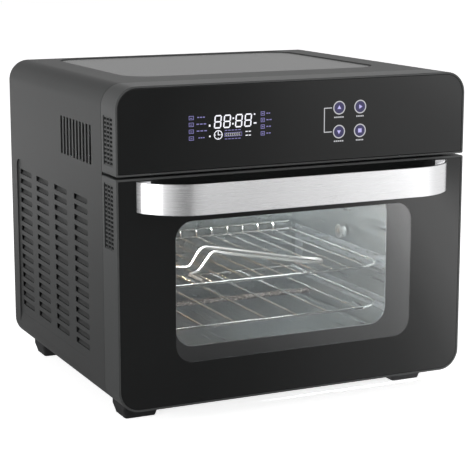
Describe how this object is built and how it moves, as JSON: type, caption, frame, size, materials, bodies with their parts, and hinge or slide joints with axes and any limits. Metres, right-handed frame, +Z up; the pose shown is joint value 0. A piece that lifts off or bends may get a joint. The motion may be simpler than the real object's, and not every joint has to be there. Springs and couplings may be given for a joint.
{
  "type": "countertop air-fryer oven",
  "caption": "Countertop air-fryer oven: rounded steel body, drop-down glass door with a bar handle, glass touch panel, sliding wire racks, crumb tray, fan and heaters inside.",
  "frame": {"origin": "centre of the bounding box's base, on the surface that the feet stand on", "axes": "+X across the oven to the right as seen from the front, +Y from the front to the rear, +Z up"},
  "size_m": [0.38, 0.3644, 0.331],
  "materials": {
    "coated_steel": "fine matt coating",
    "black_plastic": "moulded, satin",
    "black_glass": "black glass, polished",
    "clear_glass": "tempered, clear, with a black printed border on the door",
    "steel": "satin sheet",
    "brushed_steel": "brushed along its length",
    "chrome": "plated wire",
    "heater_sheath": "heat-tinted tube",
    "dark_steel": "dark coated sheet",
    "rubber": "matt black",
    "silicone": "heat-proof seal",
    "circuit_board": "green laminate",
    "aluminium": "pressed sheet",
    "lamp_glass": "warm capsule lamp"
  },
  "bodies": {
    "oven": {"cabinet_shell": "coated_steel", "base_pan": "coated_steel", "rear_panel": "coated_steel", "control_housing": "black_plastic", "display_module": "black_plastic", "door_switch": "black_plastic", "thermal_cutout": "black_plastic", "control_glass": "black_glass", "lamp_cover": "clear_glass", "front_frame": "steel", "cavity_liner": "steel", "rack_guide_left": "steel", "rack_guide_right": "steel", "heater_guard": "steel", "convection_chamber": "steel", "motor_bracket": "steel", "rotisserie_hanger": "chrome", "temperature_probe": "chrome", "hinge_pin_left": "chrome", "hinge_pin_right": "chrome", "lower_heater_front": "heater_sheath", "lower_heater_rear": "heater_sheath", "upper_heater": "heater_sheath", "hinge_bracket_left": "dark_steel", "hinge_bracket_right": "dark_steel", "fan_motor": "dark_steel", "rotisserie_motor": "dark_steel", "rear_screw_1": "dark_steel", "rear_screw_2": "dark_steel", "rear_screw_3": "dark_steel", "rear_screw_4": "dark_steel", "cord_gland": "rubber", "foot_front_left": "rubber", "foot_front_right": "rubber", "foot_rear_left": "rubber", "foot_rear_right": "rubber", "door_gasket": "silicone", "touch_board": "circuit_board", "power_board": "circuit_board", "lamp_holder": "aluminium", "lamp_bulb": "lamp_glass"},
    "door": {"door_frame": "black_plastic", "door_glass_outer": "clear_glass", "door_inner_panel": "dark_steel", "door_glass_inner": "clear_glass", "door_handle": "brushed_steel", "handle_screw_left": "dark_steel", "handle_screw_right": "dark_steel", "hinge_arm_left": "dark_steel", "hinge_arm_right": "dark_steel"},
    "fan": {"convection_fan": "aluminium", "cooling_fan": "aluminium", "fan_shaft": "steel"},
    "spit_socket": {"rotisserie_socket": "chrome"},
    "switch_plunger": {"switch_plunger": "black_plastic"},
    "upper_rack": {"upper_rack": "chrome"},
    "lower_rack": {"lower_rack": "chrome"},
    "crumb_tray": {"crumb_tray": "steel"},
    "fetch_tool": {"fetch_tool": "chrome"}
  },
  "joints": [
    {"name": "door_hinge", "type": "hinge", "parent": "oven", "child": "door", "pos_m": [0, -0.11875, 0.029], "axis": [1, 0, 0], "range_deg": [0, 78]},
    {"name": "upper_rack_slide", "type": "slide", "parent": "oven", "child": "upper_rack", "axis": [0, -1, 0], "range_m": [0, 0.1]},
    {"name": "lower_rack_slide", "type": "slide", "parent": "oven", "child": "lower_rack", "axis": [0, -1, 0], "range_m": [0, 0.1]},
    {"name": "crumb_tray_slide", "type": "slide", "parent": "oven", "child": "crumb_tray", "axis": [0, -1, 0], "range_m": [0, 0.025]},
    {"name": "fetch_tool_lift", "type": "slide", "parent": "upper_rack", "child": "fetch_tool", "axis": [0, 0, 1], "range_m": [0, 0.03]},
    {"name": "fan_spin", "type": "hinge", "parent": "oven", "child": "fan", "pos_m": [0, 0.02725, 0.249], "axis": [0, 0, 1], "continuous": true},
    {"name": "spit_spin", "type": "hinge", "parent": "oven", "child": "spit_socket", "pos_m": [0.145, 0.02725, 0.139], "axis": [1, 0, 0], "continuous": true},
    {"name": "switch_plunger_slide", "type": "slide", "parent": "oven", "child": "switch_plunger", "axis": [0, -1, 0], "range_m": [0, 0.0015]}
  ],
  "couplings": [
    {"joint": "upper_rack_slide", "follows": "door_hinge", "m_per_rad": 0.073},
    {"joint": "lower_rack_slide", "follows": "door_hinge", "m_per_rad": 0.073},
    {"joint": "crumb_tray_slide", "follows": "door_hinge", "m_per_rad": 0.0176},
    {"joint": "switch_plunger_slide", "follows": "door_hinge", "m_per_rad": 0.0011}
  ]
}
